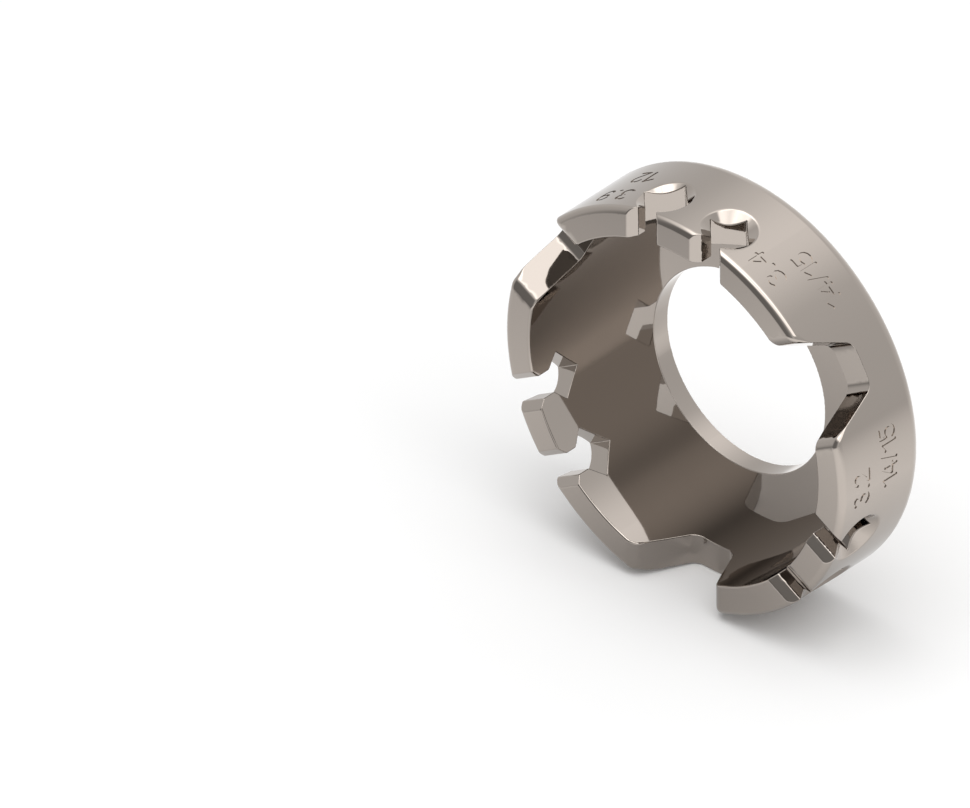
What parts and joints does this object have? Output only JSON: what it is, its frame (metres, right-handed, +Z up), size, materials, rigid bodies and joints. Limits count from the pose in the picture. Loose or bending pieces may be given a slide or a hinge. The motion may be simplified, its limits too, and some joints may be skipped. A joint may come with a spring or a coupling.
{
  "type": "spoke wrench",
  "caption": "Round one-piece spoke wrench: a shallow cup with a finger hole, and square nipple seats with spoke gaps round its notched rim.",
  "frame": {"origin": "middle of the bottom of the bounding box, under the wrench as it stands on its cylindrical side", "axes": "+Y along the body's axis from the closed face to the open rim, +Z up through the 3.4 and 3.9 mm pair of seats"},
  "size_m": [0.042, 0.0112, 0.042],
  "materials": {
    "nickel_plated_steel": "polished nickel plate"
  },
  "bodies": {
    "root": {"wrench_body": "nickel_plated_steel"}
  },
  "joints": []
}
